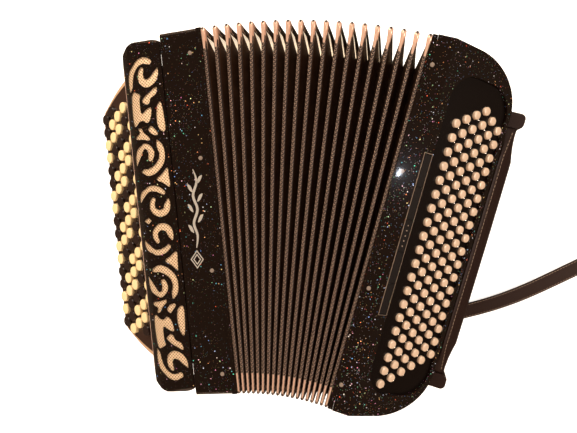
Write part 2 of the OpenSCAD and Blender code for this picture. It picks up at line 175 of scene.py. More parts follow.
def lacquer(name, layers, cool):
    """Black-brown lacquer with fine flakes of colour in it.

    layers holds (scale, share without flakes, strength); cool widens the blue share.
    """
    dark = (0.0036, 0.0015, 0.0009)
    m = material(name, dark, 0.18, coat=1.0, coat_rough=0.04, spec=0.35)
    b = shader(m)
    tc = coords(m)
    patches = add(m, "ShaderNodeTexNoise", Scale=14.0, Detail=2.0)
    link(m, tc, "Object", patches, "Vector")
    thick = ramp(m, [(0.38, (0.35, 0.35, 0.35)), (0.66, (1, 1, 1))])
    link(m, patches, "Fac", thick, "Fac")
    last = None
    for scale, rare, strong in layers:
        v = add(m, "ShaderNodeTexVoronoi", Scale=scale)
        link(m, tc, "Object", v, "Vector")
        rgb = add(m, "ShaderNodeSeparateColor", mode="RGB")
        link(m, v, "Color", rgb, "Color")
        pick = ramp(m, [(0.0, (0, 0, 0)), (rare, (0, 0, 0)), (rare + 0.005, (strong,) * 3),
                        (1.0, (strong,) * 3)])
        link(m, rgb, "Red", pick, "Fac")
        near = ramp(m, [(0.0, (1, 1, 1)), (0.34, (1, 1, 1)), (0.42, (0, 0, 0)), (1.0, (0, 0, 0))])
        link(m, v, "Distance", near, "Fac")
        tint = ramp(m, [(0.0, (1.0, 0.10, 0.05)), (0.25, (1.0, 0.70, 0.30)), (0.45, (0.10, 0.80, 0.50)),
                        (0.62 - cool, (0.20, 0.42, 1.0)), (0.8, (1.0, 0.95, 0.88)),
                        (1.0, (0.90, 0.25, 0.60))])
        link(m, rgb, "Green", tint, "Fac")
        share = add(m, "ShaderNodeMix", data_type="RGBA", blend_type="MULTIPLY")
        share.inputs[0].default_value = 1.0
        m.node_tree.links.new(pick.outputs["Color"], share.inputs[6])
        m.node_tree.links.new(near.outputs["Color"], share.inputs[7])
        spread = add(m, "ShaderNodeMix", data_type="RGBA", blend_type="MULTIPLY")
        spread.inputs[0].default_value = 1.0
        m.node_tree.links.new(share.outputs[2], spread.inputs[6])
        m.node_tree.links.new(thick.outputs["Color"], spread.inputs[7])
        mix = add(m, "ShaderNodeMix", data_type="RGBA")
        m.node_tree.links.new(spread.outputs[2], mix.inputs[0])
        mix.inputs[6].default_value = (*dark, 1)
        if last:
            m.node_tree.links.new(last.outputs[2], mix.inputs[6])
        m.node_tree.links.new(tint.outputs["Color"], mix.inputs[7])
        last = mix
    m.node_tree.links.new(last.outputs[2], b.inputs["Base Color"])
    # the lacquer's colour also drives its emission: painted glints on the flakes, and a faint painted glow on
    # the dark ground
    m.node_tree.links.new(last.outputs[2], b.inputs["Emission Color"])
    b.inputs["Emission Strength"].default_value = FLAKE_PAINTED_GLOW
    return m


def leather(name, color, grain=900.0):
    m = material(name, color, 0.5, spec=0.22)
    tc = coords(m)
    v = add(m, "ShaderNodeTexVoronoi", Scale=grain)
    link(m, tc, "Object", v, "Vector")
    bump(m, v, "Distance", 0.35, 0.0006)
    return m


def cloth(name, color, light):
    m = material(name, color, 0.8, spec=0.15)
    tc = coords(m)
    n = add(m, "ShaderNodeTexNoise", Scale=60.0, Detail=4.0)
    link(m, tc, "Object", n, "Vector")
    r = ramp(m, [(0.3, color), (0.75, light)])
    link(m, n, "Fac", r, "Fac")
    link(m, r, "Color", shader(m), "Base Color")
    w = add(m, "ShaderNodeTexNoise", Scale=1400.0)
    link(m, tc, "Object", w, "Vector")
    bump(m, w, "Fac", 0.3, 0.0004)
    return m


def rope_tape():
    """Dark tape with two braided tan threads along it; the mesh carries how far along and across."""
    dark = (0.020, 0.009, 0.006)
    m = material("ridge_tape", dark, 0.6)
    b = shader(m)
    run = add(m, "ShaderNodeAttribute", attribute_name="run")
    cross = add(m, "ShaderNodeAttribute", attribute_name="cross")
    found = []
    for phase, side in ((0.0, 0.04), (0.2, -0.04)):
        wave = add(m, "ShaderNodeMath", operation="MULTIPLY_ADD")
        wave.inputs[1].default_value = 2 * math.pi / THREAD_TURN
        wave.inputs[2].default_value = phase
        link(m, run, "Fac", wave, 0)
        s = add(m, "ShaderNodeMath", operation="SINE")
        link(m, wave, 0, s, 0)
        d = add(m, "ShaderNodeMath", operation="MULTIPLY_ADD")
        link(m, s, 0, d, 0)
        d.inputs[1].default_value = -0.55
        link(m, cross, "Fac", d, 2)
        e = add(m, "ShaderNodeMath", operation="ADD")
        e.inputs[1].default_value = side
        link(m, d, 0, e, 0)
        a = add(m, "ShaderNodeMath", operation="ABSOLUTE")
        link(m, e, 0, a, 0)
        found.append(a)
    low = add(m, "ShaderNodeMath", operation="MINIMUM")
    link(m, found[0], 0, low, 0)
    link(m, found[1], 0, low, 1)
    col = ramp(m, [(0.0, (0.50, 0.34, 0.25)), (0.06, (0.42, 0.28, 0.20)), (0.13, dark), (1.0, dark)])
    link(m, low, 0, col, "Fac")
    link(m, col, "Color", b, "Base Color")
    h = ramp(m, [(0.0, (1, 1, 1)), (0.12, (0, 0, 0))])
    link(m, low, 0, h, "Fac")
    bump(m, h, "Color", 0.6, 0.0005)
    return m


def gold_mesh():
    """Gold cloth woven in small diamonds."""
    m = material("gold_mesh", (0.70, 0.47, 0.27), 0.42, metal=0.35)
    b = shader(m)
    tc = coords(m)
    out = []
    for turn in (45, -45):
        mp = add(m, "ShaderNodeMapping")
        mp.inputs["Rotation"].default_value = (0, 0, math.radians(turn))
        link(m, tc, "Object", mp, "Vector")
        w = add(m, "ShaderNodeTexWave", Scale=115.0, Distortion=0.0)
        link(m, mp, "Vector", w, "Vector")
        out.append(w)
    mx = add(m, "ShaderNodeMath", operation="MAXIMUM")
    link(m, out[0], "Fac", mx, 0)
    link(m, out[1], "Fac", mx, 1)
    # colour follows the weave's height, like the bump: the darkest spots are the gaps between the threads, the
    # darker sides of the threads are painted shade and their pale crowns a painted highlight
    col = ramp(m, [(0.25, (0.30, 0.17, 0.08)), (0.6, (0.66, 0.42, 0.22)), (1.0, (0.95, 0.72, 0.50))])
    link(m, mx, 0, col, "Fac")
    link(m, col, "Color", b, "Base Color")
    bump(m, mx, 0, 0.6, 0.0012)
    return m


def wood(name, light, dark):
    m = material(name, light, 0.6)
    tc = coords(m)
    mp = add(m, "ShaderNodeMapping")
    mp.inputs["Scale"].default_value = (1.0, 0.12, 1.0)
    link(m, tc, "Object", mp, "Vector")
    n = add(m, "ShaderNodeTexNoise", Scale=160.0, Detail=5.0, Distortion=1.5)
    link(m, mp, "Vector", n, "Vector")
    r = ramp(m, [(0.35, dark), (0.65, light)])
    link(m, n, "Fac", r, "Fac")
    link(m, r, "Color", shader(m), "Base Color")
    return m


LACQUER = lacquer("glitter_lacquer", ((620.0, 0.975, 1.0), (1500.0, 0.955, 0.25)), 0.0)
BASS_LACQUER = lacquer("glitter_lacquer_bass", ((620.0, 0.962, 1.0), (1200.0, 0.92, 0.4)), 0.1)
BLACK = material("black_gloss", (0.0045, 0.0025, 0.002), 0.25, coat=0.3, spec=0.2)
BOARD = material("board_lacquer", (0.035, 0.017, 0.012), 0.3, coat=0.4, spec=0.35)
RIM = material("rim_celluloid", (0.58, 0.37, 0.22), 0.35, coat=0.4)
PIN = material("bright_pin", (0.62, 0.50, 0.42), 0.25, metal=0.7, coat=0.4)
GOLD_MESH = gold_mesh()
INNER = wood("inner_wood", (0.62, 0.44, 0.26), (0.42, 0.27, 0.14))
FELT = material("pallet_felt", (0.70, 0.62, 0.50), 0.9, sheen=0.4)
ALU = material("mechanism_alu", (0.75, 0.76, 0.78), 0.35, metal=1.0)
CHROME = material("chrome", (0.86, 0.85, 0.84), 0.12, metal=1.0)
CORNER = material("corner_metal", (0.92, 0.60, 0.45), 0.34, metal=0.6)
CREAM = material("cream_button", (0.90, 0.69, 0.38), 0.24, coat=0.5)
DARK_BUTTON = material("black_button", (0.020, 0.011, 0.009), 0.22, coat=0.5, spec=0.35)
BASS_CREAM = material("bass_cream", (0.70, 0.52, 0.38), 0.25, coat=0.5)
CLOTH = cloth("bellows_cloth", (0.044, 0.018, 0.009), (0.078, 0.036, 0.018))
GUSSET = leather("gusset_leather", (0.90, 0.82, 0.68), 700.0)
# the gusset leather also glows: painted light that brightens the gussets deep in the folds, where the lamps
# reach little
shader(GUSSET).inputs["Emission Color"].default_value = (0.90, 0.80, 0.66, 1)
shader(GUSSET).inputs["Emission Strength"].default_value = GUSSET_PAINTED_LIGHT
TAPE = rope_tape()
STRAP = leather("strap_leather", (0.018, 0.0075, 0.0055))
STRAP_TAIL = leather("strap_tail_leather", (0.022, 0.009, 0.006), 1300.0)
STITCH = material("stitch_thread", (0.30, 0.21, 0.15), 0.7)
BRASS = material("worn_brass", (0.62, 0.44, 0.20), 0.28, metal=1.0)
REGISTER = material("register_black", (0.010, 0.008, 0.008), 0.25, coat=0.6, spec=0.35)
PINK = material("pale_edging", (0.62, 0.40, 0.32), 0.35, coat=0.3)
PEARL = material("dot_metal", (0.88, 0.84, 0.80), 0.15, metal=1.0)
INLAY = material("silver_inlay", (0.80, 0.74, 0.66), 0.3, metal=0.6)
EDGE = material("edge_trim", (0.34, 0.25, 0.19), 0.3, metal=0.5)


# ---------------------------------------------------------------- mesh helpers
def smooth(obj, angle=40):
    for p in obj.data.polygons:
        p.use_smooth = True
    obj.data.set_sharp_from_angle(angle=math.radians(angle))
    return obj


def mesh(name, verts, faces, mats, index=None, angle=40):
    me = bpy.data.meshes.new(name)
    me.from_pydata([tuple(v) for v in verts], [], faces)
    me.validate()
    for m in mats:
        me.materials.append(m)
    if index:
        for p, k in zip(me.polygons, index):
            p.material_index = k
    o = bpy.data.objects.new(name, me)
    bpy.context.scene.collection.objects.link(o)
    return smooth(o, angle)


def face_out(me):
    """Turns the faces of a mesh outward."""
    bm = bmesh.new()
    bm.from_mesh(me)
    bmesh.ops.recalc_face_normals(bm, faces=bm.faces)
    bm.to_mesh(me)
    bm.free()


class Build:
    """Gathers faces for one mesh."""

    def __init__(self):
        self.v, self.f, self.m = [], [], []

    def grid(self, rows, mat=0, closed=False, flip=False):
        """Quads between rows of equal length; closed joins each row's end to its start."""
        base = len(self.v)
        n = len(rows[0])
        for r in rows:
            self.v += [Vector(p) for p in r]
        for i in range(len(rows) - 1):
            for j in range(n if closed else n - 1):
                k = (j + 1) % n
                q = [base + i * n + j, base + i * n + k, base + (i + 1) * n + k,
                     base + (i + 1) * n + j]
                self.f.append(q[::-1] if flip else q)
                self.m.append(mat)

    def fan(self, ring, mat=0, flip=False):
        base = len(self.v)
        self.v += [Vector(p) for p in ring]
        q = list(range(base, base + len(ring)))
        self.f.append(q[::-1] if flip else q)
        self.m.append(mat)

    def lathe(self, m, profile, seg=28, mat=0):
        """Turns (radius, height) pairs about the Z axis of frame m."""
        rows = []
        for r, h in profile:
            rows.append([m @ Vector((r * math.cos(t * 2 * math.pi / seg),
                                     r * math.sin(t * 2 * math.pi / seg), h))
                         for t in range(seg)])
        self.grid(rows, mat, closed=True)
        self.fan(rows[-1], mat)
        self.fan(rows[0], mat, flip=True)

    def box(self, m, lo, hi, mat=0):
        x0, y0, z0 = lo
        x1, y1, z1 = hi
        c = [m @ Vector(p) for p in [(x0, y0, z0), (x1, y0, z0), (x1, y1, z0), (x0, y1, z0),
                                     (x0, y0, z1), (x1, y0, z1), (x1, y1, z1), (x0, y1, z1)]]
        b = len(self.v)
        self.v += c
        for q in [(3, 2, 1, 0), (4, 5, 6, 7), (0, 1, 5, 4), (1, 2, 6, 5), (2, 3, 7, 6), (3, 0, 4, 7)]:
            self.f.append([b + i for i in q])
            self.m.append(mat)

    def make(self, name, mats, angle=40):
        return mesh(name, self.v, self.f, mats, self.m, angle)


def bevel(obj, width, seg=2, angle=35):
    m = obj.modifiers.new("bevel", "BEVEL")
    m.width = width
    m.segments = seg
    m.limit_method = "ANGLE"
    m.angle_limit = math.radians(angle)
    m.harden_normals = False


def paint(node, mat, width=0.0, seg=2):
    o = frame["nodes"][node]
    o.data.materials.clear()
    o.data.materials.append(mat)
    smooth(o, 30)
    if width:
        bevel(o, width, seg)
    return o


T = Matrix.Translation

# ---------------------------------------------------------------- CAD nodes shown as they are
paint("treble_case", LACQUER, 1.5 * MM, 3)
paint("bass_case", BASS_LACQUER, 1.8 * MM, 3)
paint("treble_grille", LACQUER, 1.2 * MM, 3)
paint("fingerboard", BOARD, 0.5 * MM, 2)
paint("keyboard_body", BOARD, 1.2 * MM, 2)
paint("bass_button_panel", BLACK, 0.5 * MM, 2)
paint("treble_bellows_frame", LACQUER, 0.6 * MM, 2)
paint("bass_bellows_frame", BASS_LACQUER, 0.6 * MM, 2)
for n in ("treble_soundboard", "bass_soundboard", "treble_reed_blocks", "bass_reed_blocks"):
    paint(n, INNER)
paint("treble_pallets", FELT)
paint("treble_levers", ALU)
paint("bass_mechanism", ALU)
paint("treble_strap_brackets", CHROME, 0.3 * MM, 2)
for n in ("treble_pins", "bass_pins"):
    paint(n, PIN, 0.5 * MM, 3)
paint("strap_feet", STRAP, 2 * MM, 3)
paint("shoulder_bracket", BRASS, 0.5 * MM, 2)
paint("strap_clip", BRASS, 0.8 * MM, 2)
paint("air_button", DARK_BUTTON, 1.2 * MM, 3)
for i in range(1, 6):
    paint(f"register_{i}", REGISTER, 0.5 * MM, 2)

# ---------------------------------------------------------------- bellows
GAP = 31 * MM
EDGE_IN = 1 * MM
LOW_TROUGH = 3.2 * MM
CORNER_LEG = 26 * MM
BACK, FRONT = EDGE_IN, DEPTH - EDGE_IN
LOW, HIGH = EDGE_IN, 2 * HALF - EDGE_IN


def loop(inset, step=None):
    """Points round a fold, set in by inset, from a corner on: step a side, or four near its ends."""
    y0, y1, z0, z1 = LOW + min(inset, LOW_TROUGH), HIGH - inset, BACK + inset, FRONT - inset
    corners = [(y0, z0), (y0, z1), (y1, z1), (y1, z0)]
    pts = []
    for a, b in zip(corners, corners[1:] + corners[:1]):
        l = math.hypot(b[0] - a[0], b[1] - a[1])
        c = min(CORNER_LEG, l / 3) / l
        shares = [0, c, 0.5, 1 - c] if step is None else [k / step for k in range(step)]
        pts += [(a[0] + (b[0] - a[0]) * t, a[1] + (b[1] - a[1]) * t) for t in shares]
    return pts


def at(n, x, y, z):
    """A point of the open bellows: n may lie between two folds."""
    return swing(n) @ Vector((x, y, z))


def pleat(i):
    """The cloth trough between fold i - 1 and fold i, with light gussets in its top corners."""
    b = Build()
    steps = [0.0, 0.12, 0.3, 0.46, 0.5, 0.54, 0.7, 0.88, 1.0]
    rows, shares = [], []
    for s in steps:
        deep = GAP * (1 - abs(2 * s - 1) ** 1.15)
        ring = [at(i - 1 + s, 0, y, z) for y, z in loop(deep + 0.4 * MM)]
        rows.append(ring)
        shares += [s] * len(ring)
    n = len(rows[0])
    for r in rows:
        b.v += r
    for k in range(len(rows) - 1):
        for j in range(n):
            q = (j + 1) % n
            b.f.append([k * n + j, (k + 1) * n + j, (k + 1) * n + q, k * n + q])
            top_corner = j % 4 in (0, 3) and j // 4 == 2
            b.m.append(1 if top_corner and 1 <= k <= 6 else 0)
    o = b.make(f"bellows_pleat_{i:02d}", [CLOTH, GUSSET], 50)
    body = f"fold_{i:02d}_body" if i < PLEATS else "bass"
    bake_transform(o, "treble", body, at(i - 1, 0, HALF, FRONT), at(i, 0, HALF, FRONT))
    weights = o.data.attributes["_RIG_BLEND"]
    weights.data.foreach_set("value", [(i - 1 + s) / i for s in shares])
    return o


def tape(i, body):
    """The ridge of fold i with its cord trim."""
    w, d = 1.9 * MM, 5.5 * MM
    section = [(-w, d, -1.0), (-w, 0.9 * MM, -0.75), (-w * 0.55, 0.1 * MM, -0.4), (0, -0.25 * MM, 0),
               (w * 0.55, 0.1 * MM, 0.4), (w, 0.9 * MM, 0.75), (w, d, 1.0)]
    v, f, run, cross = [], [], [], []
    for x, inset, c in section:
        pts = loop(inset, 12)
        total = 0.0
        for k, (y, z) in enumerate(pts):
            if k:
                total += math.dist(pts[k], pts[k - 1])
            v.append(at(i, x, y, z))
            run.append(total)
            cross.append(c)
        y, z = pts[0]
        total += math.dist(pts[0], pts[-1])
        v.append(at(i, x, y, z))
        run.append(total)
        cross.append(c)
    n = len(v) // len(section)
    for r in range(len(section) - 1):
        for j in range(n - 1):
            f.append([r * n + j, (r + 1) * n + j, (r + 1) * n + j + 1, r * n + j + 1])
    o = mesh(f"ridge_tape_{i:02d}", v, f, [TAPE], angle=60)
    for key, values in (("run", run), ("cross", cross)):
        a = o.data.attributes.new(key, "FLOAT", "POINT")
        a.data.foreach_set("value", values)
    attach(o, body)
    return o


def corners(i, body):
    """Bright metal caps on the four corners of fold i, widest at the corner itself."""
    b = Build()
    y0, y1, z0, z1 = LOW, HIGH, BACK, FRONT
    path = [(24, 0, 1.5), (14, 0, 1.95), (6, 0, 2.5), (3.2, 0.1, 2.7), (1.5, 0.6, 2.75),
            (0.6, 1.5, 2.75), (0.1, 3.2, 2.7), (0, 6, 2.5), (0, 14, 1.95), (0, 24, 1.5)]
    for cy, cz, sy, sz in [(y0, z0, 1, 1), (y0, z1, 1, -1), (y1, z1, -1, -1), (y1, z0, -1, 1)]:
        rows = []
        for k, (py, pz, wide) in enumerate(path):
            turn = math.pi / 2 * max(0.0, min(1.0, (k - 2.5) / 4))
            iy, iz = math.sin(turn), math.cos(turn)
            w = (min(wide, 1.4) if sy > 0 else wide) * MM
            ring = []
            for x, inset in [(-w, 7), (-w, 0.9), (-w * 0.6, -0.35), (w * 0.6, -0.35), (w, 0.9), (w, 7)]:
                y = cy + sy * (py + iy * inset) * MM
                z = cz + sz * (pz + iz * inset) * MM
                ring.append(at(i, x, y, z))
            rows.append(ring)
        b.grid(rows, 0, flip=(sy * sz > 0))
    o = b.make(f"ridge_corners_{i:02d}", [CORNER], 50)
    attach(o, body)
    return o


def joining_strip(i, x0, x1, body):
    """Dark binding between an outermost ridge and the frame beside it."""
    b = Build()
    b.grid([[at(i, x * MM, y, z) for y, z in loop(1.6 * MM)] for x in (x0, x1)], 0, closed=True)
    o = b.make(f"frame_binding_{i:02d}", [CLOTH], 60)
    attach(o, body)


joining_strip(0, -3.2, 0.4, "treble")
joining_strip(PLEATS, -0.4, 3.2, "bass")

for i in range(0, PLEATS + 1):
    body = "treble" if i == 0 else ("bass" if i == PLEATS else f"fold_{i:02d}_body")
    t = tape(i, body)
    c = corners(i, body)
    if 0 < i < PLEATS:
        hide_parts(f"fold_{i:02d}")
    if i:
        pleat(i)

# ---------------------------------------------------------------- fretwork of the grille
# its section in mm from the first ridge and up, from the seam round to the back
SECTION = [(-52.5, 200), (-84, 198.5), (-97, 194), (-107, 186), (-114, 173), (-119, 117)]


def grille_at(w, y, lift):
    """A point w mm round the grille from the seam, lift mm out of it."""
    left = w
    for (x0, z0), (x1, z1) in zip(SECTION, SECTION[1:]):
        l = math.hypot(x1 - x0, z1 - z0)
        if left <= l or (x1, z1) == SECTION[-1]:
            t = left / l
            nx, nz = (z1 - z0) / l, -(x1 - x0) / l
            return Vector((RIDGE0 + (x0 + (x1 - x0) * t + nx * lift) * MM, y * MM,
                           DEPTH + (z0 + (z1 - z0) * t + nz * lift - 200) * MM))
        left -= l


def wrapped(a):
    """From the flat drawing, as seen from the front, to the way round the section."""
    steps = [(0, 0), (32, 32), (37, 38.5), (40, 45), (43, 53), (46, 66)]
    for (a0, w0), (a1, w1) in zip(steps, steps[1:]):
        if a <= a1:
            return w0 + (w1 - w0) * (a - a0) / (a1 - a0)
    return steps[-1][1]


def flow(pts, parts=6, closed=False):
    """A smooth line through points."""
    n = len(pts)
    out = []
    for i in range(n if closed else n - 1):
        if closed:
            p = [pts[(i + k) % n] for k in (-1, 0, 1, 2)]
        else:
            p = [pts[max(0, min(n - 1, i + k))] for k in (-1, 0, 1, 2)]
        for s in range(parts):
            t = s / parts
            out.append(tuple(0.5 * (2 * b + (c - a) * t + (2 * a - 5 * b + 4 * c - d) * t * t
                                    + (3 * b - a - 3 * c + d) * t ** 3)
                             for a, b, c, d in zip(*p)))
    if not closed:
        out.append(tuple(pts[-1]))
    return out


def brush(pts):
    """The outline of a stroke through (a, y, half width) points, with round ends."""
    line = flow(pts, 5)
    left, right = [], []
    for k, (x, y, w) in enumerate(line):
        x0, y0, _ = line[max(0, k - 1)]
        x1, y1, _ = line[min(len(line) - 1, k + 1)]
        l = math.hypot(x1 - x0, y1 - y0) or 1
        nx, ny = -(y1 - y0) / l, (x1 - x0) / l
        left.append((x + nx * w, y + ny * w))
        right.append((x - nx * w, y - ny * w))
    out = list(left)
    for (a, b, far) in ((left[-1], right[-1], line[-1]), (right[0], left[0], line[0])):
        if far is line[0]:
            out += right[::-1]
        cx, cy = (a[0] + b[0]) / 2, (a[1] + b[1]) / 2
        r = math.dist(a, b) / 2
        start = math.atan2(a[1] - cy, a[0] - cx)
        if r > 0.3:
            turns = [start - math.pi * t / 6 for t in range(1, 6)]
            out += [(cx + r * math.cos(t), cy + r * math.sin(t)) for t in turns]
    return out


# scrolls and leaves cut in the cover, in mm from the seam and up
STROKES = [
    [(16.5, 182, 3.4), (23.5, 184.5, 3.8), (30.5, 182.5, 3.5), (36, 177, 2.9), (39, 170, 2.2),
     (40, 162, 1.9), (40.2, 156, 1.5), (40.6, 151, 0.5)],
    [(26.5, 174.5, 2.4), (28.6, 169, 3.5), (28, 162, 4.0), (22.5, 157.5, 4.6), (14.5, 160.5, 4.6),
     (9.5, 167, 3.6), (6.5, 173, 0.8)],
    [(26.5, 70.5, 3.4), (24.8, 76.5, 3.8), (27.5, 83, 3.3), (33, 85.5, 3.1), (37.5, 81.5, 2.9),
     (39.8, 75, 2.3), (41, 69, 1.5), (41.8, 64, 0.5)],
    [(16, 90.5, 1.0), (13.5, 84, 3.8), (11.3, 75, 3.6), (14, 65, 4.1), (22, 57.5, 4.4),
     (30, 54.5, 4.2), (35.5, 56, 3.0)],
    [(15, 29.5, 2.8), (22, 34, 3.3), (31, 35.3, 3.2), (37.5, 31.5, 2.7), (40.5, 25.5, 1.8),
     (41.6, 20.5, 0.6)],
    [(28.5, 22, 2.8), (30.5, 16.5, 3.4), (29.5, 10, 3.6), (22.5, 5.4, 4.1), (14, 8, 4.2),
     (11, 15.5, 3.7), (9.5, 21, 1.2)],
]
LEAVES = [
    [(38.5, 150), (36, 148.5), (31.5, 145), (33, 139), (32.5, 124), (27, 127), (19.5, 129.5), (20, 121),
     (23, 114), (27, 112), (31, 115), (36, 114), (39.5, 109.5), (41, 117), (41, 132), (40, 146)],
    [(9.5, 152), (16, 149.5), (25, 143.5), (30, 138), (28, 135), (24, 133), (20.5, 135),
     (18.5, 140), (11.5, 144)],
    [(9, 134.5), (11.5, 130), (13.5, 120), (13.5, 110), (11, 102.5), (6.5, 99.5), (3.8, 103), (4, 116),
     (5, 128), (6.5, 134)],
    [(38, 107), (34, 106), (31.5, 101), (25, 94.5), (26, 91.5), (34, 93.5), (39.5, 94.5), (39.8, 98),
     (37, 101.5)],
    [(21.5, 108), (25.5, 104.5), (23, 99.5), (16.5, 96.5), (13.5, 98.5), (17.5, 104)],
    [(8, 57.5), (14, 51.5), (21.5, 45.5), (14, 40.5), (7, 35.5), (5, 38), (5.6, 48), (6, 57)],
]
PLATE_E = HALF / MM - 14.3
PLATE_R = 26.3
EDGING_E = 182
MIDDLE = -2.5
CREASES = (20, 31.5, 38, 45.3, 52, 58.1, 62)


def around(x):
    """How far round the section from the seam the point at x is."""
    out = 0.0
    for (x0, z0), (x1, z1) in zip(SECTION, SECTION[1:]):
        l = math.hypot(x1 - x0, z1 - z0)
        if x >= x1:
            return out + l * (x - x0) / (x1 - x0)
        out += l
    return out


def cover_edge(m):
    """The outline of the plate, set in by m, with rounded corners."""
    out = []
    r, e = PLATE_R - m, PLATE_E + 0.3 - m
    for side in (1, -1):
        turn = [math.pi / 2 * k / 8 for k in range(9)]
        outer = [(-85 - (r - 0.4) * math.sin(t), side * (e - r + r * math.cos(t))) for t in turn]
        seam = [(-81.3 + r * math.sin(t), side * (e - r + r * math.cos(t))) for t in turn]
        out += seam[::-1] + outer if side > 0 else outer[::-1] + seam
    return [(around(x), y) for x, y in out]


def bend(me, lift):
    """Wraps a flat mesh round the cover."""
    bm = bmesh.new()
    bm.from_mesh(me)
    bmesh.ops.remove_doubles(bm, verts=bm.verts, dist=0.02 * MM)
    for w in CREASES:
        bmesh.ops.bisect_plane(bm, geom=bm.verts[:] + bm.edges[:] + bm.faces[:],
                               plane_co=(w * MM, 0, 0), plane_no=(1, 0, 0))
    for v in bm.verts:
        x, y, z = v.co
        v.co = grille_at(x / MM, y / MM, lift + z / MM)
    bmesh.ops.recalc_face_normals(bm, faces=bm.faces)
    bm.to_mesh(me)
    bm.free()


def flat(name, rings, thick):
    """A flat plate with holes, from closed lines."""
    cd = bpy.data.curves.new(name, "CURVE")
    cd.dimensions = "2D"
    cd.fill_mode = "BOTH"
    cd.extrude = thick / 2 * MM
    for points in rings:
        s = cd.splines.new("POLY")
        s.points.add(len(points) - 1)
        for q, (x, y) in zip(s.points, points):
            q.co = (x * MM, y * MM, 0, 1)
        s.use_cyclic_u = True
    o = bpy.data.objects.new(name, cd)
    bpy.context.scene.collection.objects.link(o)
    bpy.context.view_layer.update()
    me = bpy.data.meshes.new_from_object(o.evaluated_get(bpy.context.evaluated_depsgraph_get()))
    bpy.data.objects.remove(o)
    me.materials.clear()
    return me


def shown(name, me, mat, node=None):
    me.name = name
    me.materials.append(mat)
    o = bpy.data.objects.new(name, me)
    bpy.context.scene.collection.objects.link(o)
    smooth(o, 30)
    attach(o, "treble")
    if node:
        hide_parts(node)
    return o


def fretwork():
    """The cover's front skin with the scrolls cut through it, the gold cloth behind, and its edging."""
    rings = [cover_edge(0)]
    for side in (1, -1):
        for st in STROKES:
            rings.append([(wrapped(a), MIDDLE + side * (y - MIDDLE)) for a, y in brush(st)])
        for lf in LEAVES:
            rings.append([(wrapped(a), MIDDLE + side * (y - MIDDLE))
                          for a, y in flow(lf, 3, closed=True)])
    rings.append([(wrapped(37 + a), MIDDLE + b) for a, b in ((3.6, 0), (0, 3.9), (-3.6, 0), (0, -3.9))])
    me = flat("fret_flat", rings, 0.8)
    bend(me, -0.34)
    shown("fretwork", me, LACQUER, "grille_fretwork")
    me = flat("mesh_flat", [cover_edge(1.0)], 0)
    bend(me, -1.1)
    shown("gold_cloth", me, GOLD_MESH, "grille_mesh")
    b = Build()
    rows = []
    for k in range(37):
        y = -EDGING_E + 2 * EDGING_E * k / 36
        rows.append([grille_at(w, y, h)
                     for w, h in ((63.4, -0.2), (63.7, 0.25), (65.6, 0.3), (66.0, -0.2))])
    b.grid(rows, 0)
    o = b.make("cover_edging", [PINK], 60)
    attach(o, "treble")


fretwork()

# ---------------------------------------------------------------- treble buttons
KEY_PITCH, KEY_ROW, KEY_D = 18.4 * MM, 18.4 * 0.866 * MM, 15 * MM


def row_size(row):
    return 17 if row % 2 == 0 else 18


def is_cream(row, k):
    """Whether button k of a row, counted from the top, is cream; the others are black."""
    if row == 0:
        return k in (2, 3, 6, 7, 10, 11, 14, 15)
    if row == 1:
        return k in (1, 2, 5, 6, 9, 10, 13, 14, 17)
    if row == 2:
        return k not in (2, 6, 10, 14)
    if row == 3:
        return k in (0, 3, 4, 7, 8, 11, 12, 15, 16)
    return k in (1, 2, 5, 6, 9, 10, 13, 14)


def key_place(row, k):
    n = row_size(row)
    return KEYS @ T((row * KEY_ROW, ((n - 1) / 2 - k) * KEY_PITCH, 0))


def button_profile(r, low, rise=0.0):
    """Radius and height pairs of a button with a slightly crowned top."""
    return [(r, low), (r, -1.6 * MM), (r * 0.985, -0.8 * MM), (r * 0.93, -0.2 * MM), (r * 0.84, 0),
            (r * 0.6, rise), (r * 0.3, rise * 1.4), (0.15 * MM, rise * 1.5)]


for row in range(5):
    white, black = Build(), Build()
    for k in range(row_size(row)):
        which = white if is_cream(row, k) else black
        which.lathe(key_place(row, k), button_profile(KEY_D / 2, -12 * MM, 0.12 * MM), 30)
    body = f"treble_row_{row + 1}_body"
    a = white.make(f"cream_buttons_{row + 1}", [CREAM])
    b = black.make(f"black_buttons_{row + 1}", [DARK_BUTTON])
    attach(a, body)
    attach(b, body)
    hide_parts(f"treble_row_{row + 1}")

dots = Build()
for row in range(4):
    for k in range(17):
        nudge = 0.25 if row % 2 else -0.25
        m = KEYS @ T(((row + 0.5) * KEY_ROW, ((17 - 1) / 2 - k - nudge) * KEY_PITCH, -4.5 * MM))
        dots.lathe(m, [(0.9 * MM, 0), (0.8 * MM, 0.35 * MM), (0.2 * MM, 0.55 * MM)], 10)
o = dots.make("board_dots", [PEARL])
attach(o, "treble")

# ---------------------------------------------------------------- bass buttons
BB_STEP, BB_PITCH, BB_D = 12.7 * MM, 16 * MM, 9.6 * MM
BB_TOP = 342.5 * MM
BB_ROWS = 20
for c in range(6):
    b = Build()
    first = 0 if c < 4 else c - 3
    for k in range(first, BB_ROWS):
        m = BUTTONS @ T((c * BB_STEP, BB_TOP + c * BB_PITCH / 2 - k * BB_PITCH, 0))
        b.lathe(m, [(BB_D / 2, -9 * MM), (BB_D / 2, -1.1 * MM), (BB_D / 2 * 0.94, -0.4 * MM),
                    (BB_D / 2 * 0.82, -0.05 * MM), (BB_D / 2 * 0.5, 0.05 * MM),
                    (0.1 * MM, 0.1 * MM)], 24)
    o = b.make(f"bass_buttons_{c + 1}", [BASS_CREAM])
    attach(o, f"bass_column_{c + 1}_body")
    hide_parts(f"bass_column_{c + 1}")

